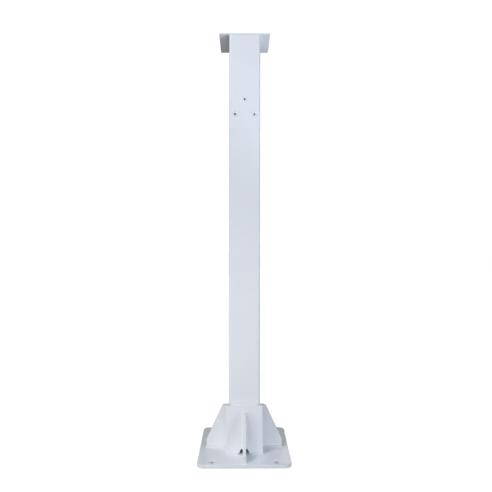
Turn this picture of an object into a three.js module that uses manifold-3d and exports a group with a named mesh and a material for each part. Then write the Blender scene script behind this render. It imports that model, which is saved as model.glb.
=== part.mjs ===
// Floor-mounted square gate post: base plate, four gussets, front doubler plate with a cable arch,
// and a wide plate welded on top. Millimetres, +Z up, the front faces -Y.
// The origin is the middle of the base plate's underside.
import * as THREE from "three";
import { mergeVertices } from "three/addons/utils/BufferGeometryUtils.js";
import Module from "manifold-3d";

const wasm = await Module();
wasm.setup();

// ---- driving dimensions ----
const GAP = 0.3; // clearance left between neighbouring solids
const EXTRA = 5; // how far a cutter reaches past the solid it cuts

const PLATE_SIDE = 290;
const PLATE_THICK = 12;
const PLATE_CORNER = 20;
const ANCHOR_HOLE = 16;
const ANCHOR_X = 99;
const ANCHOR_Y = 127;

const POST_SIDE = 100;
const POST_WALL = 3;
const POST_CORNER = 6;
const POST_Y = -15; // the post stands forward of the plate's middle
const OVERALL = 1355;

const DOUBLER_WIDTH = 120;
const DOUBLER_THICK = 9.7;
const DOUBLER_TOP = 167;
const DOUBLER_EDGE = 4;
const ARCH_HALF = 15.5;
const ARCH_RISE = 20;

const GUSSET_THICK = 10;
const GUSSET_HEIGHT = 139;
const FRONT_GUSSET_HEIGHT = 133;
const GUSSET_TOP_REACH = 20.5; // from the post face
const GUSSET_TOE_REACH = 73.5; // from the post face
const GUSSET_TOE_HEIGHT = 27;
const GUSSET_ROUND = 5;
const GUSSET_CLIP = 12; // inner corner cut away over the foot weld

const WELD_LEG = 5;
const SEAM_LEG = 4; // small fillets above the floor plate

const HEAD_WIDTH = 164;
const HEAD_THICK = 4;
const HEAD_FRONT = 50.5; // front edge ahead of the post axis
const HEAD_BACK = 92; // back edge behind the post axis
const HEAD_CORNER = 3;

const INSERT_BORE = 6.8;
const INSERT_BARREL = 11;
const INSERT_FLANGE = 14;
const INSERT_LIP = 1;
const INSERT_LENGTH = 16;
const INSERT_HIGH_Z = 1144;
const INSERT_LOW_Z = 1096;
const INSERT_SPREAD = 31;

const CURVE_STEPS = 8;
const HOLE_STEPS = 40;

// ---- derived levels ----
const FLOOR = PLATE_THICK + GAP;
const POST_TOP = OVERALL - HEAD_THICK - GAP;
const FACE = POST_SIDE / 2;
const DOUBLER_FACE = FACE + GAP + DOUBLER_THICK;

// ---- finishes ----
const coat = () => new THREE.MeshStandardMaterial({ color: 0xe3e7ef, roughness: 0.42, metalness: 0.0 });
const zinc = () => new THREE.MeshStandardMaterial({ color: 0xa9adb2, roughness: 0.35, metalness: 1.0 });

// ---- solids ----
function toSolid(geometry) {
  const bare = geometry.clone();
  bare.deleteAttribute("normal");
  bare.deleteAttribute("uv");
  const merged = mergeVertices(bare, 1e-4);
  const mesh = new wasm.Mesh({
    numProp: 3,
    vertProperties: new Float32Array(merged.attributes.position.array),
    triVerts: new Uint32Array(merged.index.array),
  });
  return new wasm.Manifold(mesh);
}

function toGeometry(solid) {
  const mesh = solid.getMesh();
  const geometry = new THREE.BufferGeometry();
  geometry.setAttribute("position", new THREE.BufferAttribute(mesh.vertProperties, 3));
  geometry.setIndex(new THREE.BufferAttribute(mesh.triVerts, 1));
  const flat = geometry.toNonIndexed();
  flat.computeVertexNormals();
  return flat;
}

function box(x0, x1, y0, y1, z0, z1) {
  const geometry = new THREE.BoxGeometry(x1 - x0, y1 - y0, z1 - z0);
  geometry.translate((x0 + x1) / 2, (y0 + y1) / 2, (z0 + z1) / 2);
  return geometry;
}

// A box whose bottom edges stand out by leg on every side: the outside of a fillet weld round a foot.
function flaredBox(x0, x1, y0, y1, z0, leg) {
  const geometry = box(x0, x1, y0, y1, z0, z0 + leg);
  const middle = new THREE.Vector3((x0 + x1) / 2, (y0 + y1) / 2, z0 + leg / 2);
  const at = geometry.attributes.position;
  for (let i = 0; i < at.count; i++) {
    if (at.getZ(i) > middle.z) continue;
    at.setX(i, at.getX(i) + Math.sign(at.getX(i) - middle.x) * leg);
    at.setY(i, at.getY(i) + Math.sign(at.getY(i) - middle.y) * leg);
  }
  return geometry;
}

function roundedRect(target, x0, x1, y0, y1, r) {
  target.moveTo(x0 + r, y0);
  target.lineTo(x1 - r, y0);
  target.absarc(x1 - r, y0 + r, r, -Math.PI / 2, 0, false);
  target.lineTo(x1, y1 - r);
  target.absarc(x1 - r, y1 - r, r, 0, Math.PI / 2, false);
  target.lineTo(x0 + r, y1);
  target.absarc(x0 + r, y1 - r, r, Math.PI / 2, Math.PI, false);
  target.lineTo(x0, y0 + r);
  target.absarc(x0 + r, y0 + r, r, Math.PI, 1.5 * Math.PI, false);
  return target;
}

function extrudeUp(shape, z0, z1, steps = CURVE_STEPS) {
  const geometry = new THREE.ExtrudeGeometry(shape, {
    depth: z1 - z0,
    bevelEnabled: false,
    curveSegments: steps,
  });
  geometry.translate(0, 0, z0);
  return geometry;
}

// A square tube standing on the post axis.
function squareTube(outer, outerRadius, bore, boreRadius, z0, z1) {
  const half = outer / 2;
  const inner = bore / 2;
  const shape = roundedRect(new THREE.Shape(), -half, half, -half, half, outerRadius);
  shape.holes.push(roundedRect(new THREE.Path(), -inner, inner, -inner, inner, boreRadius));
  const geometry = extrudeUp(shape, z0, z1);
  geometry.translate(0, POST_Y, 0);
  return toSolid(geometry);
}

// A round bar along Y.
function barAlongY(diameter, x, z, y0, y1) {
  const geometry = new THREE.CylinderGeometry(diameter / 2, diameter / 2, y1 - y0, HOLE_STEPS);
  geometry.translate(x, (y0 + y1) / 2, z);
  return toSolid(geometry);
}

function mesh(name, solid, material) {
  const made = new THREE.Mesh(toGeometry(solid), material);
  made.name = name;
  return made;
}

// ---- floor plate ----
function basePlate() {
  const half = PLATE_SIDE / 2;
  const shape = roundedRect(new THREE.Shape(), -half, half, -half, half, PLATE_CORNER);
  for (const x of [-ANCHOR_X, ANCHOR_X])
    for (const y of [-ANCHOR_Y, ANCHOR_Y])
      shape.holes.push(new THREE.Path().absarc(x, y, ANCHOR_HOLE / 2, 0, 2 * Math.PI, true));
  return toSolid(extrudeUp(shape, 0, PLATE_THICK, HOLE_STEPS));
}

// ---- cable arch: a half ellipse standing on the floor plate ----
function archCutter(y0, y1, grow = 0) {
  const half = ARCH_HALF + grow;
  const shape = new THREE.Shape();
  shape.moveTo(-half, -EXTRA);
  shape.lineTo(half, -EXTRA);
  shape.lineTo(half, 0);
  shape.absellipse(0, 0, half, ARCH_RISE + grow, 0, Math.PI, false, 0);
  shape.lineTo(-half, -EXTRA);
  const geometry = extrudeUp(shape, 0, y1 - y0, 2 * CURVE_STEPS);
  geometry.rotateX(Math.PI / 2);
  geometry.translate(0, y1, FLOOR);
  return toSolid(geometry);
}

// ---- the three threaded inserts near the top of the front wall ----
const INSERTS = [
  { name: "insert_top", x: 0, z: INSERT_HIGH_Z },
  { name: "insert_left", x: -INSERT_SPREAD, z: INSERT_LOW_Z },
  { name: "insert_right", x: INSERT_SPREAD, z: INSERT_LOW_Z },
];

function threadedInsert({ x, z }) {
  const bore = INSERT_BORE / 2;
  const barrel = INSERT_BARREL / 2;
  const flange = INSERT_FLANGE / 2;
  const top = INSERT_LIP;
  const profile = [
    [bore, -INSERT_LENGTH],
    [barrel, -INSERT_LENGTH],
    [barrel, 0],
    [flange, 0],
    [flange, top * 0.5],
    [flange - top * 0.5, top],
    [bore, top],
    [bore, -INSERT_LENGTH],
  ].map(([r, h]) => new THREE.Vector2(r, h));
  const geometry = new THREE.LatheGeometry(profile, HOLE_STEPS);
  geometry.rotateZ(Math.PI);
  geometry.translate(x, POST_Y - FACE - GAP, z);
  return toSolid(geometry);
}

// ---- post ----
function postTube() {
  const bore = POST_SIDE - 2 * POST_WALL;
  let tube = squareTube(POST_SIDE, POST_CORNER, bore, POST_CORNER - POST_WALL, FLOOR, POST_TOP);
  const front = POST_Y - FACE;
  tube = tube.subtract(archCutter(front - EXTRA, front + POST_WALL + EXTRA));
  for (const { x, z } of INSERTS) {
    const drill = barAlongY(INSERT_BARREL + 2 * GAP, x, z, front - EXTRA, front + POST_WALL + EXTRA);
    tube = tube.subtract(drill);
  }
  return tube;
}

// ---- doubler plate on the front of the post foot ----
function frontDoubler() {
  const half = DOUBLER_WIDTH / 2;
  const back = POST_Y - FACE - GAP;
  const front = back - DOUBLER_THICK;
  const shape = new THREE.Shape();
  shape.moveTo(half, back);
  shape.lineTo(-half, back);
  shape.lineTo(-half, front + DOUBLER_EDGE);
  shape.absarc(-half + DOUBLER_EDGE, front + DOUBLER_EDGE, DOUBLER_EDGE, Math.PI, 1.5 * Math.PI, false);
  shape.lineTo(half - DOUBLER_EDGE, front);
  shape.absarc(half - DOUBLER_EDGE, front + DOUBLER_EDGE, DOUBLER_EDGE, 1.5 * Math.PI, 2 * Math.PI, false);
  shape.lineTo(half, back);
  const plate = toSolid(extrudeUp(shape, FLOOR, DOUBLER_TOP));
  return plate.subtract(archCutter(front - EXTRA, back + EXTRA));
}

// ---- gussets ----
// Each gusset is drawn with its reach along +X from the post axis, then turned to its side of the post.
const GUSSETS = [
  { side: "right", turn: 0, inner: FACE, height: GUSSET_HEIGHT },
  { side: "back", turn: Math.PI / 2, inner: FACE, height: GUSSET_HEIGHT },
  { side: "left", turn: Math.PI, inner: FACE, height: GUSSET_HEIGHT },
  { side: "front", turn: -Math.PI / 2, inner: DOUBLER_FACE, height: FRONT_GUSSET_HEIGHT },
];

function placeOnSide(geometry, turn) {
  geometry.rotateZ(turn);
  geometry.translate(0, POST_Y, 0);
  return toSolid(geometry);
}

// The outline of the sloping edge: from the flat top down to the blunt toe, corners eased.
function gussetShape(inner, height) {
  const root = inner + GAP;
  const topOut = FACE + GUSSET_TOP_REACH;
  const toeOut = FACE + GUSSET_TOE_REACH;
  const top = FLOOR + height;
  const toeTop = FLOOR + GUSSET_TOE_HEIGHT;
  const slope = new THREE.Vector2(toeOut - topOut, toeTop - top).normalize();
  const ease = slope.clone().multiplyScalar(GUSSET_ROUND);
  const shape = new THREE.Shape();
  shape.moveTo(root + GUSSET_CLIP, FLOOR);
  shape.lineTo(toeOut, FLOOR);
  shape.lineTo(toeOut, toeTop - GUSSET_ROUND);
  shape.quadraticCurveTo(toeOut, toeTop, toeOut - ease.x, toeTop - ease.y);
  shape.lineTo(topOut + ease.x, top + ease.y);
  shape.quadraticCurveTo(topOut, top, topOut - GUSSET_ROUND, top);
  shape.lineTo(root, top);
  shape.lineTo(root, FLOOR + GUSSET_CLIP);
  shape.lineTo(root + GUSSET_CLIP, FLOOR);
  return shape;
}

function gusset({ turn, inner, height }) {
  const geometry = new THREE.ExtrudeGeometry(gussetShape(inner, height), {
    depth: GUSSET_THICK,
    bevelEnabled: false,
    curveSegments: CURVE_STEPS,
  });
  geometry.rotateX(Math.PI / 2);
  geometry.translate(0, GUSSET_THICK / 2, 0);
  return placeOnSide(geometry, turn);
}

// Fillet weld along both sides of a gusset's foot and round its toe.
function gussetFootWeld({ turn, inner }) {
  const half = GUSSET_THICK / 2 + GAP;
  const start = inner + GAP + GUSSET_CLIP + EXTRA;
  const end = FACE + GUSSET_TOE_REACH + GAP;
  const outside = placeOnSide(flaredBox(start, end, -half, half, FLOOR, WELD_LEG), turn);
  const plate = box(start - 2 * WELD_LEG, end, -half, half, FLOOR - 1, FLOOR + 2 * WELD_LEG);
  const stop = box(start - 2 * WELD_LEG, start, -WELD_LEG * 3, WELD_LEG * 3, FLOOR - 1, FLOOR + 2 * WELD_LEG);
  return outside.subtract(placeOnSide(plate, turn)).subtract(placeOnSide(stop, turn));
}

// Fillet weld up one side of a gusset, over its top edge and down the other side.
function gussetSeamWeld({ turn, inner, height }) {
  const half = GUSSET_THICK / 2 + GAP;
  const wall = inner + GAP;
  const low = FLOOR + GUSSET_CLIP + WELD_LEG;
  const high = FLOOR + height + GAP;
  const lying = flaredBox(low, high, -half, half, 0, SEAM_LEG);
  lying.rotateY(-Math.PI / 2);
  lying.scale(-1, 1, 1);
  lying.translate(wall, 0, 0);
  lying.index.array.reverse();
  const outside = placeOnSide(lying, turn);
  const reach = wall + 2 * SEAM_LEG;
  const plate = box(wall - 1, reach, -half, half, low - 2 * SEAM_LEG, high);
  const stop = box(wall - 1, reach, -SEAM_LEG * 4, SEAM_LEG * 4, low - 2 * SEAM_LEG, low);
  return outside.subtract(placeOnSide(plate, turn)).subtract(placeOnSide(stop, turn));
}

// ---- weld round the foot of the post and the doubler, open at the cable arch ----
function postFootWeld() {
  const grow = GAP;
  const half = FACE + grow;
  const wide = DOUBLER_WIDTH / 2 + grow;
  const front = DOUBLER_FACE + grow;
  const back = FACE - grow;
  const high = FLOOR + 2 * WELD_LEG;
  const roundPost = flaredBox(-half, half, -half, half, FLOOR, WELD_LEG);
  const roundDoubler = flaredBox(-wide, wide, -front, -back, FLOOR, WELD_LEG);
  const post = box(-half, half, -half, half, FLOOR - 1, high);
  const doubler = box(-wide, wide, -front, -back, FLOOR - 1, high);
  const ring = placeOnSide(roundPost, 0).add(placeOnSide(roundDoubler, 0));
  const open = archCutter(POST_Y - front - 2 * WELD_LEG, POST_Y - back, WELD_LEG / 2);
  return ring.subtract(placeOnSide(post, 0)).subtract(placeOnSide(doubler, 0)).subtract(open);
}

// A straight fillet along X: the corner of the triangle is at (y, z) and its legs run by ly and lz.
function filletAlongX(x0, x1, y, z, ly, lz) {
  const shape = new THREE.Shape();
  shape.moveTo(y, z);
  shape.lineTo(y + ly, z);
  shape.lineTo(y, z + lz);
  shape.lineTo(y, z);
  const geometry = new THREE.ExtrudeGeometry(shape, { depth: x1 - x0, bevelEnabled: false });
  geometry.rotateX(Math.PI / 2);
  geometry.rotateZ(Math.PI / 2);
  geometry.translate(x0, 0, 0);
  return toSolid(geometry);
}

// A straight fillet up Z with its corner at (x, y).
function filletUp(z0, z1, x, y, lx, ly) {
  const shape = new THREE.Shape();
  shape.moveTo(x, y);
  shape.lineTo(x + lx, y);
  shape.lineTo(x, y + ly);
  shape.lineTo(x, y);
  return toSolid(extrudeUp(shape, z0, z1));
}

function doublerTopWeld() {
  const half = FACE - POST_CORNER;
  const wall = POST_Y - FACE - GAP;
  return filletAlongX(-half, half, wall, DOUBLER_TOP + GAP, -WELD_LEG - SEAM_LEG, WELD_LEG + SEAM_LEG);
}

function doublerSideWeld(sign) {
  const x = sign * (FACE + GAP);
  const y = POST_Y - FACE + POST_CORNER;
  const low = FLOOR + 2 * WELD_LEG;
  return filletUp(low, DOUBLER_TOP - SEAM_LEG, x, y, sign * SEAM_LEG, SEAM_LEG);
}

// ---- head plate, with a fillet under it on each side of the post but the front ----
function headPlate() {
  const half = HEAD_WIDTH / 2;
  const front = POST_Y - HEAD_FRONT;
  const back = POST_Y + HEAD_BACK;
  const outline = roundedRect(new THREE.Shape(), -half, half, front, back, HEAD_CORNER);
  return toSolid(extrudeUp(outline, OVERALL - HEAD_THICK, OVERALL, CURVE_STEPS));
}

function headSideWeld(sign) {
  const x = sign * (FACE + GAP);
  const length = FACE - POST_CORNER;
  const shape = new THREE.Shape();
  shape.moveTo(x, POST_TOP);
  shape.lineTo(x + sign * WELD_LEG, POST_TOP);
  shape.lineTo(x, POST_TOP - WELD_LEG);
  shape.lineTo(x, POST_TOP);
  const geometry = new THREE.ExtrudeGeometry(shape, { depth: 2 * length, bevelEnabled: false });
  geometry.rotateX(Math.PI / 2);
  geometry.translate(0, POST_Y + length, 0);
  return toSolid(geometry);
}

function headBackWeld() {
  const half = FACE - POST_CORNER;
  return filletAlongX(-half, half, POST_Y + FACE + GAP, POST_TOP, WELD_LEG, -WELD_LEG);
}

// ---- assembly ----
const gate = new THREE.Group();
gate.name = "gate_post";
gate.add(mesh("base_plate", basePlate(), coat()));
gate.add(mesh("post_tube", postTube(), coat()));
gate.add(mesh("front_doubler", frontDoubler(), coat()));
for (const side of GUSSETS) {
  gate.add(mesh("gusset_" + side.side, gusset(side), coat()));
  gate.add(mesh("weld_foot_" + side.side, gussetFootWeld(side), coat()));
  gate.add(mesh("weld_seam_" + side.side, gussetSeamWeld(side), coat()));
}
gate.add(mesh("weld_post_foot", postFootWeld(), coat()));
gate.add(mesh("weld_doubler_top", doublerTopWeld(), coat()));
gate.add(mesh("weld_doubler_left", doublerSideWeld(-1), coat()));
gate.add(mesh("weld_doubler_right", doublerSideWeld(1), coat()));
for (const insert of INSERTS) gate.add(mesh(insert.name, threadedInsert(insert), zinc()));
gate.add(mesh("head_plate", headPlate(), coat()));
gate.add(mesh("weld_head_left", headSideWeld(-1), coat()));
gate.add(mesh("weld_head_right", headSideWeld(1), coat()));
gate.add(mesh("weld_head_back", headBackWeld(), coat()));

export default gate;
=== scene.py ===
import math
import random

import bmesh
import bpy
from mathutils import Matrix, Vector


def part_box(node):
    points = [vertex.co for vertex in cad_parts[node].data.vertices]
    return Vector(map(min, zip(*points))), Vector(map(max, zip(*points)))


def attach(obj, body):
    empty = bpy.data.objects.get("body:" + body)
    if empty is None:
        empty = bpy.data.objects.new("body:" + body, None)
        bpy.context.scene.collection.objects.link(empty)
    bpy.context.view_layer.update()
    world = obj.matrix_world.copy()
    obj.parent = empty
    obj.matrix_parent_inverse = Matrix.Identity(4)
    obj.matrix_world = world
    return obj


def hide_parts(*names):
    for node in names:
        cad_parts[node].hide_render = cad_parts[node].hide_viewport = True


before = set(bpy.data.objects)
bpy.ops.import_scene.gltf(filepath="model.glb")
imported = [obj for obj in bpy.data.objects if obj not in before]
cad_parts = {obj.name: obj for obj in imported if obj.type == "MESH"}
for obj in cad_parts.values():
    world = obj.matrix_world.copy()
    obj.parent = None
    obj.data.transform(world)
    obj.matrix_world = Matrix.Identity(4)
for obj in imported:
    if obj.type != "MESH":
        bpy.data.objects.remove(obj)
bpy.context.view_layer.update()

MM = 0.001
scene = bpy.context.scene

# ---------------------------------------------------------------- places, all read from the frame
PLATE_LOW, PLATE_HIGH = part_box("base_plate")
POST_LOW, POST_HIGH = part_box("post_tube")
DOUBLER_LOW, DOUBLER_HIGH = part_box("front_doubler")
HEAD_LOW, HEAD_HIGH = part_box("head_plate")
FLOOR_TOP = PLATE_HIGH.z
POST_Y = (POST_LOW.y + POST_HIGH.y) / 2
FACE = (POST_HIGH.x - POST_LOW.x) / 2

# sizes of the design that a box can't give
PLATE_CORNER = 20 * MM
ANCHOR_R = 8 * MM
ANCHOR_X = 99 * MM
ANCHOR_Y = 127 * MM
POST_CORNER = 6 * MM
POST_WALL = 3 * MM
ARCH_HALF = 15.5 * MM
ARCH_RISE = 20 * MM
DOUBLER_EDGE = 4 * MM
GUSSET_THICK = 10 * MM
GUSSET_TOP_REACH = 20.5 * MM
GUSSET_TOE_HEIGHT = 27 * MM
GUSSET_ROUND = 5 * MM
GUSSET_CLIP = 12 * MM
HEAD_CORNER = 3 * MM
INSERT_BARREL = 5.5 * MM
WELD_LEG = 5 * MM
SEAM_LEG = 4 * MM
GAP = 0.3 * MM  # clearance between neighbouring CAD solids
TUCK = 0.35 * MM  # how far a bead reaches into the plates it joins, across the clearance
PAST = 5 * MM  # how far a cutter reaches past the piece it cuts
WELD_START = 4 * MM  # bare length between a rib's clipped corner and its beads
PLATE_EASE = 1.1 * MM
TUBE_EASE = 0.4 * MM
RIB_EASE = 0.9 * MM
HEAD_EASE = 0.6 * MM
BORE_IN = POST_WALL + PAST  # from the tube's face through its front wall and past it


# ---------------------------------------------------------------- materials
def noise(tree, place, scale, detail=2.0, rough=0.5):
    made = tree.nodes.new("ShaderNodeTexNoise")
    made.inputs["Scale"].default_value = scale
    made.inputs["Detail"].default_value = detail
    made.inputs["Roughness"].default_value = rough
    tree.links.new(place, made.inputs["Vector"])
    return made.outputs["Fac"]


def remap(tree, value, low, high, from_low=0.3, from_high=0.7):
    made = tree.nodes.new("ShaderNodeMapRange")
    made.inputs["From Min"].default_value = from_low
    made.inputs["From Max"].default_value = from_high
    made.inputs["To Min"].default_value = low
    made.inputs["To Max"].default_value = high
    tree.links.new(value, made.inputs["Value"])
    return made.outputs["Result"]


def mix_colour(tree, share, first, second):
    made = tree.nodes.new("ShaderNodeMix")
    made.data_type = "RGBA"
    for socket, colour in ((made.inputs["A"], first), (made.inputs["B"], second)):
        if isinstance(colour, tuple):
            socket.default_value = (*colour, 1.0)
        else:
            tree.links.new(colour, socket)
    tree.links.new(share, made.inputs["Factor"])
    return made.outputs["Result"]


def bump(tree, height, strength, distance, below=None):
    made = tree.nodes.new("ShaderNodeBump")
    made.inputs["Strength"].default_value = strength
    made.inputs["Distance"].default_value = distance
    tree.links.new(height, made.inputs["Height"])
    if below is not None:
        tree.links.new(below, made.inputs["Normal"])
    return made.outputs["Normal"]


def start_material(name):
    made = bpy.data.materials.new(name)
    made.use_nodes = True
    tree = made.node_tree
    shader = tree.nodes["Principled BSDF"]
    place = tree.nodes.new("ShaderNodeTexCoord").outputs["Object"]
    return made, tree, shader, place


def upward(tree, low, high):
    """0 to 1 as a surface turns to face up."""
    facing = tree.nodes.new("ShaderNodeNewGeometry")
    split = tree.nodes.new("ShaderNodeSeparateXYZ")
    tree.links.new(facing.outputs["Normal"], split.inputs[0])
    ramp = tree.nodes.new("ShaderNodeMapRange")
    ramp.inputs["From Min"].default_value = low
    ramp.inputs["From Max"].default_value = high
    tree.links.new(split.outputs["Z"], ramp.inputs["Value"])
    return ramp.outputs["Result"]


def powder_coat(name, light, dark, peel=1.0, darker_up=False):
    """White powder coat: faint cloudiness, orange peel, fine grain; darker where a surface faces
    up, if darker_up.
    """
    made, tree, shader, place = start_material(name)
    cloud = noise(tree, place, 7.0, 3.0, 0.55)
    tone = remap(tree, cloud, 0.0, 1.0)
    colour = mix_colour(tree, tone, dark, light)
    if darker_up:
        # surfaces that turn to face up are given a darker colour
        colour = mix_colour(tree, upward(tree, 0.10, 0.75), colour, UP_FACING_TONE)
    tree.links.new(colour, shader.inputs["Base Color"])
    smear = noise(tree, place, 38.0, 4.0, 0.6)
    tree.links.new(remap(tree, smear, 0.36, 0.47), shader.inputs["Roughness"])
    waves = bump(tree, noise(tree, place, 90.0, 1.0), 0.10 * peel, 0.6 * MM)
    skin = bump(tree, noise(tree, place, 520.0, 2.0), 0.16 * peel, 0.18 * MM, waves)
    grain = bump(tree, noise(tree, place, 2100.0, 1.0), 0.10, 0.05 * MM, skin)
    tree.links.new(grain, shader.inputs["Normal"])
    shader.inputs["IOR"].default_value = 1.48
    return made


def plated_steel(name, light, dark, rough):
    """Zinc finish on turned steel."""
    made, tree, shader, place = start_material(name)
    blotch = noise(tree, place, 420.0, 4.0, 0.6)
    colour = mix_colour(tree, remap(tree, blotch, 0.0, 1.0), dark, light)
    tree.links.new(colour, shader.inputs["Base Color"])
    tree.links.new(remap(tree, blotch, rough, rough + 0.15), shader.inputs["Roughness"])
    fine = bump(tree, noise(tree, place, 3000.0, 2.0), 0.2, 0.04 * MM)
    tree.links.new(fine, shader.inputs["Normal"])
    shader.inputs["Metallic"].default_value = 1.0
    return made


COAT_LIGHT = (0.850, 0.880, 0.915)
COAT_DARK = (0.828, 0.858, 0.893)
# darker colour given to surfaces that face up, in the coats that ask for it
UP_FACING_TONE = (0.72, 0.745, 0.775)
COAT = powder_coat("white_powder_coat", COAT_LIGHT, COAT_DARK)
WELD_COAT = powder_coat("white_powder_coat_on_weld", COAT_LIGHT, COAT_DARK, 1.6, True)
LEDGE_COAT = powder_coat("white_powder_coat_darker_up", COAT_LIGHT, COAT_DARK, 1.0, True)
ZINC = plated_steel("zinc_plate", (0.55, 0.56, 0.57), (0.36, 0.37, 0.38), 0.32)


# ---------------------------------------------------------------- mesh tools
def arc(cx, cy, r, start, end, steps):
    span = math.radians(end - start)
    first = math.radians(start)
    return [
        (cx + r * math.cos(first + span * i / steps), cy + r * math.sin(first + span * i / steps))
        for i in range(steps + 1)
    ]


def rounded_rect(x0, x1, y0, y1, r, steps=14):
    return (
        arc(x1 - r, y0 + r, r, -90, 0, steps)
        + arc(x1 - r, y1 - r, r, 0, 90, steps)
        + arc(x0 + r, y1 - r, r, 90, 180, steps)
        + arc(x0 + r, y0 + r, r, 180, 270, steps)
    )


def quad_curve(p0, p1, p2, steps):
    points = []
    for i in range(steps + 1):
        t = i / steps
        points.append(
            tuple(a * (1 - t) ** 2 + 2 * b * t * (1 - t) + c * t * t for a, b, c in zip(p0, p1, p2))
        )
    return points


def tidy_outline(points, least=1e-6):
    kept = [points[0]]
    for p in points[1:]:
        if math.dist(p, kept[-1]) > least:
            kept.append(p)
    if math.dist(kept[0], kept[-1]) <= least:
        kept.pop()
    return kept


def new_object(name, mesh):
    made = bpy.data.objects.new(name, mesh)
    scene.collection.objects.link(made)
    return made


def prism(name, outline, low, high, place):
    """A closed prism: outline in two coordinates, low to high in the third; place sets the axes."""
    outline = tidy_outline(outline)
    bm = bmesh.new()
    rings = [[bm.verts.new(place(u, v, w)) for u, v in outline] for w in (low, high)]
    count = len(outline)
    for i in range(count):
        j = (i + 1) % count
        bm.faces.new((rings[0][i], rings[0][j], rings[1][j], rings[1][i]))
    bm.faces.new(list(reversed(rings[0])))
    bm.faces.new(rings[1])
    bmesh.ops.recalc_face_normals(bm, faces=bm.faces)
    mesh = bpy.data.meshes.new(name)
    bm.to_mesh(mesh)
    bm.free()
    return new_object(name, mesh)


def up(u, v, w):
    return Vector((u, v, w))


def along_y(u, v, w):
    return Vector((u, w, v))


def apply_all(obj):
    bpy.context.view_layer.update()
    depsgraph = bpy.context.evaluated_depsgraph_get()
    mesh = bpy.data.meshes.new_from_object(obj.evaluated_get(depsgraph))
    obj.modifiers.clear()
    obj.data = mesh
    return obj


def cut(obj, *cutters):
    for cutter in cutters:
        made = obj.modifiers.new("cut", "BOOLEAN")
        made.operation = "DIFFERENCE"
        made.solver = "EXACT"
        made.object = cutter
    apply_all(obj)
    for cutter in cutters:
        bpy.data.objects.remove(cutter)
    return obj


def soften(obj, width, segments=3, angle=34):
    """Eases the edges and shades the flats flat and the rounds round."""
    made = obj.modifiers.new("edges", "BEVEL")
    made.width = width
    made.segments = segments
    made.limit_method = "ANGLE"
    made.angle_limit = math.radians(angle)
    made.use_clamp_overlap = False
    made.miter_outer = "MITER_ARC"
    apply_all(obj)
    for face in obj.data.polygons:
        face.use_smooth = True
    shade = obj.modifiers.new("shading", "WEIGHTED_NORMAL")
    shade.keep_sharp = False
    shade.weight = 100
    return obj


def finish_piece(obj, cad_node, *materials):
    obj.data.materials.clear()
    for material in materials:
        obj.data.materials.append(material)
    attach(obj, "root")
    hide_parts(cad_node)
    return obj


# ---------------------------------------------------------------- plates and tubes
def arch_cutter(y0, y1):
    outline = arc(0, 0, 1, 0, 180, 40)
    outline = [(u * ARCH_HALF, POST_LOW.z + v * ARCH_RISE) for u, v in outline]
    below = POST_LOW.z - 6 * MM
    outline += [(-ARCH_HALF, below), (ARCH_HALF, below)]
    return prism("arch_cutter", outline, y0, y1, along_y)


def drill(place, centre, radius, low, high, steps=48):
    outline = arc(centre[0], centre[1], radius, 0, 360, steps)
    return prism("drill", outline, low, high, place)


def make_base_plate():
    body = prism(
        "floor_plate",
        rounded_rect(PLATE_LOW.x, PLATE_HIGH.x, PLATE_LOW.y, PLATE_HIGH.y, PLATE_CORNER, 20),
        PLATE_LOW.z,
        PLATE_HIGH.z,
        up,
    )
    holes = [
        drill(up, (x, y), ANCHOR_R, PLATE_LOW.z - PAST, PLATE_HIGH.z + PAST)
        for x in (-ANCHOR_X, ANCHOR_X)
        for y in (-ANCHOR_Y, ANCHOR_Y)
    ]
    cut(body, *holes)
    soften(body, PLATE_EASE)
    return finish_piece(body, "base_plate", COAT)


def make_post():
    body = prism(
        "post",
        rounded_rect(POST_LOW.x, POST_HIGH.x, POST_LOW.y, POST_HIGH.y, POST_CORNER),
        POST_LOW.z,
        POST_HIGH.z,
        up,
    )
    w = POST_WALL
    bore = prism(
        "bore",
        rounded_rect(
            POST_LOW.x + w, POST_HIGH.x - w, POST_LOW.y + w, POST_HIGH.y - w, POST_CORNER - w
        ),
        POST_LOW.z - PAST,
        POST_HIGH.z + PAST,
        up,
    )
    front = POST_LOW.y
    holes = []
    for name in ("insert_top", "insert_left", "insert_right"):
        low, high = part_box(name)
        centre = ((low.x + high.x) / 2, (low.z + high.z) / 2)
        holes.append(drill(along_y, centre, INSERT_BARREL + GAP, front - PAST, front + BORE_IN))
    cut(body, bore, arch_cutter(front - PAST, front + BORE_IN), *holes)
    soften(body, TUBE_EASE, 2)
    return finish_piece(body, "post_tube", COAT)


def make_doubler():
    x0, x1 = DOUBLER_LOW.x, DOUBLER_HIGH.x
    front, back = DOUBLER_LOW.y, DOUBLER_HIGH.y
    r = DOUBLER_EDGE
    outline = (
        [(x1, back), (x0, back)]
        + arc(x0 + r, front + r, r, 180, 270, 12)
        + arc(x1 - r, front + r, r, 270, 360, 12)
    )
    body = prism("front_plate", outline, DOUBLER_LOW.z, DOUBLER_HIGH.z, up)
    cut(body, arch_cutter(front - PAST, back + PAST))
    soften(body, RIB_EASE)
    return finish_piece(body, "front_doubler", LEDGE_COAT)


def side_place(turn):
    """Turns (reach, height, across) of a gusset to its side of the post."""
    c, s = round(math.cos(turn)), round(math.sin(turn))

    def place(r, z, t):
        return Vector((r * c - t * s, POST_Y + r * s + t * c, z))

    return place


GUSSETS = {
    "right": 0.0,
    "back": math.pi / 2,
    "left": math.pi,
    "front": -math.pi / 2,
}


def gusset_reach(side):
    """Root and toe of a gusset, measured from the post's axis."""
    low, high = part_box("gusset_" + side)
    if side == "right":
        return low.x, high.x
    if side == "left":
        return -high.x, -low.x
    if side == "back":
        return low.y - POST_Y, high.y - POST_Y
    return POST_Y - high.y, POST_Y - low.y


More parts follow.
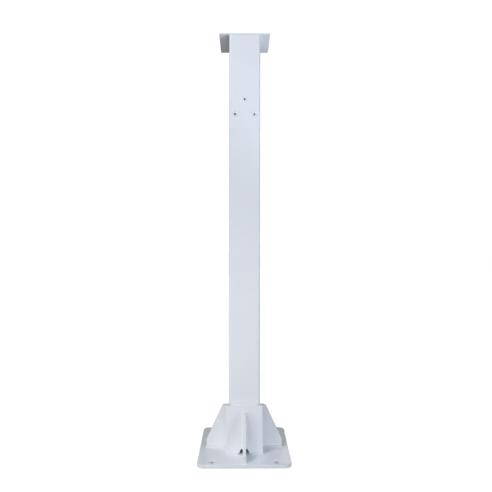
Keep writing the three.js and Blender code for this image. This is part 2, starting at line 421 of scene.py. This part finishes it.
def make_gusset(side):
    root, toe = gusset_reach(side)
    low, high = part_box("gusset_" + side)
    foot, top = low.z, high.z
    toe_top = foot + GUSSET_TOE_HEIGHT
    top_out = FACE + GUSSET_TOP_REACH
    slope = Vector((toe - top_out, toe_top - top)).normalized() * GUSSET_ROUND
    outline = [(root + GUSSET_CLIP, foot), (toe, foot)]
    outline += quad_curve(
        (toe, toe_top - GUSSET_ROUND), (toe, toe_top), (toe - slope.x, toe_top - slope.y), 10
    )
    outline += quad_curve(
        (top_out + slope.x, top + slope.y), (top_out, top), (top_out - GUSSET_ROUND, top), 10
    )
    outline += [(root, top), (root, foot + GUSSET_CLIP)]
    half = GUSSET_THICK / 2
    body = prism("rib_" + side, outline, -half, half, side_place(GUSSETS[side]))
    soften(body, RIB_EASE)
    return finish_piece(body, "gusset_" + side, LEDGE_COAT)


def make_head_plate():
    body = prism(
        "head_top",
        rounded_rect(HEAD_LOW.x, HEAD_HIGH.x, HEAD_LOW.y, HEAD_HIGH.y, HEAD_CORNER),
        HEAD_LOW.z,
        HEAD_HIGH.z,
        up,
    )
    soften(body, HEAD_EASE)
    return finish_piece(body, "head_plate", COAT)


# ---------------------------------------------------------------- weld beads
BEAD_STEP = 0.7 * MM
BEAD_FACE = 9
BEAD_CROWN = 0.10  # height of a bead's crown, as a share of its leg
RIPPLE_CROWN = 0.055
RIPPLE_PITCH = 0.62  # distance between ripples, as a share of the leg
ARCH_CLEAR = 3.5 * MM  # bare length beside the cable arch
CORNER_STEPS = 8
INNER_TURN = 5.2 * MM  # where the foot bead starts and ends its turn into the doubler's corner
MITRED = 1.1  # a station whose leg is longer than this is a mitred corner, left as it is


def bead_section(station, leg, along, wobble):
    """Points round one section of a bead: the hidden corner, then the rippled face."""
    corner, a, b = station
    points = [corner - a * TUCK - b * TUCK, corner + a * leg * wobble - b * TUCK]
    for i in range(BEAD_FACE + 1):
        t = i / BEAD_FACE
        crown = math.sin(math.pi * t)
        phase = 2 * math.pi * along / (RIPPLE_PITCH * leg) - 1.5 * crown
        ripple = (0.5 + 0.5 * math.cos(phase)) ** 1.4
        lift = leg * crown * (BEAD_CROWN + RIPPLE_CROWN * ripple) / math.sqrt(2)
        points.append(
            corner + a * (leg * wobble * (1 - t) + lift) + b * (leg * wobble * t + lift)
        )
    points.append(corner - a * TUCK + b * leg * wobble)
    return points


def densify(stations):
    """Fills in straight runs so that the ripples have points to stand on."""
    out = [stations[0]]
    for first, second in zip(stations, stations[1:]):
        length = (second[0] - first[0]).length
        count = max(1, round(length / BEAD_STEP))
        if max(second[1].length, first[1].length) > MITRED:
            out.append(second)
            continue
        for i in range(1, count + 1):
            t = i / count
            out.append(tuple(p.lerp(q, t) for p, q in zip(first, second)))
    return out


def make_bead(name, cad_node, stations, leg, seed):
    stations = densify(stations)
    draw = random.Random(seed)
    wander = [draw.uniform(-1, 1) for _ in range(len(stations) // 6 + 3)]
    bm = bmesh.new()
    rings = []
    along = 0.0
    last = None
    for i, station in enumerate(stations):
        middle = station[0] + (station[1] + station[2]) * leg * 0.4
        along += 0 if last is None else (middle - last).length
        last = middle
        k, f = divmod(i / 6, 1)
        drift = wander[int(k)] * (1 - f) + wander[int(k) + 1] * f
        ends = min(i, len(stations) - 1 - i)
        taper = 0.62 + 0.38 * min(1.0, ends / 4) ** 0.5
        section = bead_section(station, leg * 0.92, along, taper * (1 + 0.045 * drift))
        rings.append([bm.verts.new(p) for p in section])
    count = len(rings[0])
    for first, second in zip(rings, rings[1:]):
        for i in range(count):
            j = (i + 1) % count
            bm.faces.new((first[i], first[j], second[j], second[i]))
    bm.faces.new(list(reversed(rings[0])))
    bm.faces.new(rings[-1])
    bmesh.ops.remove_doubles(bm, verts=bm.verts, dist=1e-7)
    bmesh.ops.recalc_face_normals(bm, faces=bm.faces)
    mesh = bpy.data.meshes.new(name)
    bm.to_mesh(mesh)
    bm.free()
    for face in mesh.polygons:
        face.use_smooth = True
    made = new_object(name, mesh)
    shade = made.modifiers.new("shading", "WEIGHTED_NORMAL")
    shade.keep_sharp = False
    return finish_piece(made, cad_node, WELD_COAT)


def fan(corner, fixed, first, second, fixed_first, steps=7):
    """Stations that turn a leg from one direction to another about the same corner."""
    out = []
    for i in range(steps + 1):
        t = math.pi / 2 * i / steps
        turned = first * math.cos(t) + second * math.sin(t)
        out.append((corner, fixed, turned) if fixed_first else (corner, turned, fixed))
    return out


Z = Vector((0, 0, 1))


def make_gusset_welds(side, seed):
    place = side_place(GUSSETS[side])
    origin = place(0, 0, 0)
    out = place(1, 0, 0) - origin
    across = place(0, 0, 1) - origin
    root, toe = gusset_reach(side)
    half = GUSSET_THICK / 2
    start = root + GUSSET_CLIP + WELD_START
    foot = [(place(start, FLOOR_TOP, half), across, Z), (place(toe, FLOOR_TOP, half), across, Z)]
    foot += fan(place(toe, FLOOR_TOP, half), Z, across, out, False)[1:]
    foot += [(place(toe, FLOOR_TOP, -half), out, Z)]
    foot += fan(place(toe, FLOOR_TOP, -half), Z, out, -across, False)[1:]
    foot += [(place(start, FLOOR_TOP, -half), -across, Z)]
    make_bead("bead_foot_" + side, "weld_foot_" + side, foot, WELD_LEG, seed)
    wall = root - GAP
    low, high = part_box("gusset_" + side)
    bottom, top = low.z + GUSSET_CLIP + WELD_START, high.z
    seam = [(place(wall, bottom, half), out, across), (place(wall, top, half), out, across)]
    seam += fan(place(wall, top, half), out, across, Z, True)[1:]
    seam += [(place(wall, top, -half), out, Z)]
    seam += fan(place(wall, top, -half), out, Z, -across, True)[1:]
    seam += [(place(wall, bottom, -half), out, -across)]
    make_bead("bead_seam_" + side, "weld_seam_" + side, seam, SEAM_LEG, seed + 1)


def make_post_foot_weld():
    """Round the doubler and the post, open at the cable arch."""
    front, back = DOUBLER_LOW.y, DOUBLER_HIGH.y
    wide = DOUBLER_HIGH.x
    r = DOUBLER_EDGE
    z = FLOOR_TOP
    x_dir, y_dir = Vector((1, 0, 0)), Vector((0, 1, 0))
    edge = ARCH_HALF + ARCH_CLEAR

    def half_path(sign):
        out = x_dir * sign
        path = [(Vector((sign * edge, front, z)), -y_dir, Z)]
        for i in range(CORNER_STEPS + 1):
            t = math.pi / 2 * i / CORNER_STEPS
            normal = -y_dir * math.cos(t) + out * math.sin(t)
            centre = Vector((sign * (wide - r), front + r, z))
            path.append((centre + normal * r, normal, Z))
        path.append((Vector((sign * wide, back, z)), out, Z))
        path += fan(Vector((sign * wide, back, z)), Z, out, y_dir, False)[1:]
        path.append((Vector((sign * (FACE + INNER_TURN), back, z)), y_dir, Z))
        path.append((Vector((sign * FACE, back, z)), y_dir + out, Z))
        path.append((Vector((sign * FACE, back + INNER_TURN, z)), out, Z))
        c = POST_CORNER
        for i in range(CORNER_STEPS + 1):
            t = math.pi / 2 * i / CORNER_STEPS
            normal = out * math.cos(t) + y_dir * math.sin(t)
            centre = Vector((sign * (FACE - c), POST_HIGH.y - c, z))
            path.append((centre + normal * c, normal, Z))
        return path

    right, left = half_path(1), half_path(-1)
    path = right + list(reversed(left))
    make_bead("bead_post_foot", "weld_post_foot", path, WELD_LEG, 31)


def make_doubler_welds():
    x_dir, y_dir = Vector((1, 0, 0)), Vector((0, 1, 0))
    low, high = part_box("weld_doubler_top")
    face, top = POST_LOW.y, DOUBLER_HIGH.z
    ends = [(Vector((x, face, top)), -y_dir, Z) for x in (low.x, high.x)]
    make_bead("bead_plate_top", "weld_doubler_top", ends, high.z - low.z, 41)
    for sign, side in ((-1, "left"), (1, "right")):
        low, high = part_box("weld_doubler_" + side)
        out = x_dir * sign
        corner = Vector((sign * FACE, DOUBLER_HIGH.y, 0))
        ends = [(corner + Z * z, out, y_dir * 1.6) for z in (low.z, high.z)]
        make_bead("bead_plate_" + side, "weld_doubler_" + side, ends, SEAM_LEG, 43 + sign)


def make_head_welds():
    x_dir, y_dir = Vector((1, 0, 0)), Vector((0, 1, 0))
    z = HEAD_LOW.z
    for sign, side in ((-1, "left"), (1, "right")):
        low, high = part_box("weld_head_" + side)
        ends = [(Vector((sign * FACE, y, z)), x_dir * sign, -Z) for y in (low.y, high.y)]
        make_bead("bead_head_" + side, "weld_head_" + side, ends, WELD_LEG, 53 + sign)
    low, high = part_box("weld_head_back")
    ends = [(Vector((x, POST_HIGH.y, z)), y_dir, -Z) for x in (low.x, high.x)]
    make_bead("bead_head_back", "weld_head_back", ends, WELD_LEG, 61)


# ---------------------------------------------------------------- small turned parts
def lathe(name, profile, centre, steps=48):
    """Turns a closed (radius, depth) profile about an axis along +Y through centre."""
    bm = bmesh.new()
    rings = []
    for i in range(steps):
        t = 2 * math.pi * i / steps
        rings.append(
            [
                bm.verts.new(centre + Vector((r * math.cos(t), d, r * math.sin(t))))
                for r, d in profile
            ]
        )
    count = len(profile)
    for i in range(steps):
        first, second = rings[i], rings[(i + 1) % steps]
        for j in range(count):
            k = (j + 1) % count
            bm.faces.new((first[j], first[k], second[k], second[j]))
    bmesh.ops.recalc_face_normals(bm, faces=bm.faces)
    mesh = bpy.data.meshes.new(name)
    bm.to_mesh(mesh)
    bm.free()
    return new_object(name, mesh)


PAINT_DEPTH = 7 * MM
INSERT_LIP = 0.6 * MM
INSERT_BORE = 3.4 * MM
THREAD_ROOT = 3.85 * MM
THREAD_START = 0.9 * MM
THREAD_PITCH = 1.25 * MM
MOUTH_EASE = 0.3 * MM
BARREL_EASE = 0.5 * MM


def make_insert(name):
    """Threaded insert: the paint covers the flange and the first turns of the thread."""
    low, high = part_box(name)
    centre = Vector(((low.x + high.x) / 2, low.y, (low.z + high.z) / 2))
    flange = (high.x - low.x) / 2
    length = high.y - low.y
    lip, bore, root = INSERT_LIP, INSERT_BORE, THREAD_ROOT
    profile = [(flange, lip), (flange, lip * 0.55), (flange - lip * 0.6, 0.0)]
    profile += [(bore + MOUTH_EASE, 0.0), (bore, MOUTH_EASE)]
    depth, pitch = THREAD_START, THREAD_PITCH
    while depth + pitch < length - lip:
        profile += [
            (bore, depth + pitch * 0.3),
            (bore, depth + pitch * 0.45),
            (root, depth + pitch * 0.9),
        ]
        depth += pitch
    profile += [
        (root, length),
        (INSERT_BARREL - BARREL_EASE, length),
        (INSERT_BARREL, length - BARREL_EASE),
        (INSERT_BARREL, lip),
    ]
    made = lathe("threaded_" + name, profile, centre)
    finish_piece(made, name, COAT, ZINC)
    for face in made.data.polygons:
        middle = face.center - centre
        across = math.hypot(middle.x, middle.z)
        painted = middle.y <= lip or (across <= root and middle.y < PAINT_DEPTH)
        face.material_index = 0 if painted else 1
        face.use_smooth = True
    shade = made.modifiers.new("shading", "WEIGHTED_NORMAL")
    shade.keep_sharp = False
    return made


make_base_plate()
make_post()
make_doubler()
for index, gusset_side in enumerate(GUSSETS):
    make_gusset(gusset_side)
    make_gusset_welds(gusset_side, 3 + 7 * index)
make_post_foot_weld()
make_doubler_welds()
make_head_plate()
make_head_welds()
for insert in ("insert_top", "insert_left", "insert_right"):
    make_insert(insert)


# ---------------------------------------------------------------- stage, light and camera
FLOOR_HALF = 40.0
FLOOR_DROP = 0.3 * MM
FLOOR_GLOW = 1.0
PATCH_INSET = 2 * MM
PATCH_LOW = -0.29 * MM
PATCH_HIGH = -0.1 * MM
AMBIENT = (0.07, 0.07, 0.072)
WHITE_GROUND = 1.05  # strength of the backdrop that the camera sees
SPOT_BLEND = 0.6
SPOT_SIZE = 0.12
CAMERA_LENS = 33.66
CAMERA_X = -0.0096
CAMERA_AHEAD = 1.5217  # in front of the post's axis
CAMERA_HEIGHT = 0.674
CAMERA_ROLL = -0.073
CAMERA_TURN = -0.559


def seen_and_lit(tree, seen, lit):
    """One shader for what the camera sees of the backdrop, another for the light it gives back."""
    mix = tree.nodes.new("ShaderNodeMixShader")
    path = tree.nodes.new("ShaderNodeLightPath")
    tree.links.new(path.outputs["Is Camera Ray"], mix.inputs[0])
    tree.links.new(lit, mix.inputs[1])
    tree.links.new(seen, mix.inputs[2])
    return mix.outputs[0]


def make_floor():
    half, drop = FLOOR_HALF, FLOOR_DROP
    mesh = bpy.data.meshes.new("floor")
    corners = [(x * half, y * half, -drop) for x, y in ((-1, -1), (1, -1), (1, 1), (-1, 1))]
    mesh.from_pydata(corners, [], [(0, 1, 2, 3)])
    floor = new_object("floor", mesh)
    made = bpy.data.materials.new("pale_floor")
    made.use_nodes = True
    tree = made.node_tree
    shader = tree.nodes["Principled BSDF"]
    shader.inputs["Base Color"].default_value = (0.22, 0.22, 0.22, 1)
    shader.inputs["Roughness"].default_value = 0.9
    shader.inputs["Specular IOR Level"].default_value = 0.0
    glow = tree.nodes.new("ShaderNodeEmission")
    glow.inputs["Strength"].default_value = FLOOR_GLOW
    both = tree.nodes.new("ShaderNodeAddShader")
    tree.links.new(shader.outputs[0], both.inputs[0])
    tree.links.new(glow.outputs[0], both.inputs[1])
    result = seen_and_lit(tree, both.outputs[0], shader.outputs[0])
    tree.links.new(result, tree.nodes["Material Output"].inputs["Surface"])
    mesh.materials.append(made)


def make_shade_patch():
    """Ground under the plate, seen through the anchor holes, with no glow: a dark colour that
    paints in the plate's shade.
    """
    x0, x1 = PLATE_LOW.x + PATCH_INSET, PLATE_HIGH.x - PATCH_INSET
    y0, y1 = PLATE_LOW.y + PATCH_INSET, PLATE_HIGH.y - PATCH_INSET
    outline = rounded_rect(x0, x1, y0, y1, PLATE_CORNER)
    patch = prism("painted_shade_patch", outline, PATCH_LOW, PATCH_HIGH, up)
    made, tree, shader, place = start_material("ground_in_painted_shade")
    mottle = remap(tree, noise(tree, place, 60.0, 4.0, 0.6), 0.0, 1.0)
    # painted shade: a dark colour for the ground under the plate, with a faint mottle
    colour = mix_colour(tree, mottle, (0.10, 0.10, 0.095), (0.16, 0.158, 0.15))
    tree.links.new(colour, shader.inputs["Base Color"])
    shader.inputs["Roughness"].default_value = 0.95
    patch.data.materials.append(made)


def hang(data, place, target, power, colour):
    """Places a lamp and turns it towards its target."""
    data.energy = power
    data.color = colour
    lamp = new_object(data.name, data)
    lamp.location = place
    lamp.rotation_euler = (Vector(target) - Vector(place)).to_track_quat("-Z", "Y").to_euler()


def area_light(name, place, target, size, power, colour=(1, 1, 1)):
    data = bpy.data.lights.new(name, "AREA")
    data.shape = "RECTANGLE"
    data.size, data.size_y = size
    hang(data, place, target, power, colour)


def spot_light(name, place, target, cone, power, colour=(1, 1, 1)):
    data = bpy.data.lights.new(name, "SPOT")
    data.spot_size = math.radians(cone)
    data.spot_blend = SPOT_BLEND
    data.shadow_soft_size = SPOT_SIZE
    hang(data, place, target, power, colour)


def make_world(ambient):
    world = bpy.data.worlds.new("studio")
    scene.world = world
    world.use_nodes = True
    tree = world.node_tree
    lit = tree.nodes["Background"]
    lit.inputs["Color"].default_value = (*ambient, 1)
    lit.inputs["Strength"].default_value = 1.0
    seen = tree.nodes.new("ShaderNodeBackground")
    seen.inputs["Color"].default_value = (1, 1, 1, 1)
    seen.inputs["Strength"].default_value = WHITE_GROUND
    result = seen_and_lit(tree, seen.outputs[0], lit.outputs[0])
    tree.links.new(result, tree.nodes["World Output"].inputs["Surface"])


make_floor()
make_shade_patch()

# name, place, target, size in metres or cone in degrees, watts, colour
area_light("key", (-1.30, -1.30, 2.39), (0, 0, 0.55), (0.9, 0.9), 33.0, (0.985, 1.0, 1.06))
area_light("low_fill", (0.0, -1.9, 0.1), (0, 0, 0.1), (1.6, 0.3), 6.3, (1.09, 1.0, 0.90))
area_light("front_fill", (0.0, -2.6, 0.3), (0, 0, 0.4), (1.6, 0.5), 3.4, (0.66, 1.0, 1.40))
area_light("right_fill", (1.725, -0.996, 0.724), (0, 0, 0.55), (0.9, 0.9), 15.8, (0.945, 1, 1.1))
area_light("foot_fill", (-0.801, -0.561, 0.288), (0, 0, 0.08), (0.4, 0.4), 2.7, (1.02, 1.0, 0.94))
area_light("back_fill", (1.6, 8.0, 0.7), (0, 0, 0.65), (2.4, 1.2), 165)
spot_light("back_post", (1.2, 6.0, 0.75), (0, 0.035, 0.75), 11, 330)
spot_light("head_fill", (0.8, -0.8, 0.1), (0.02, -0.02, 1.34), 22, 23, (0.94, 1.0, 1.13))
make_world(AMBIENT)
scene.view_settings.view_transform = "Standard"

camera_data = bpy.data.cameras.new("camera")
camera = new_object("camera", camera_data)
camera_data.sensor_width = 36.0
camera_data.lens = CAMERA_LENS
camera_data.clip_start = 0.05
camera_data.clip_end = 100
camera.location = (CAMERA_X, POST_Y - CAMERA_AHEAD, CAMERA_HEIGHT)
camera.rotation_euler = (math.pi / 2, math.radians(CAMERA_ROLL), math.radians(CAMERA_TURN))
scene.camera = camera
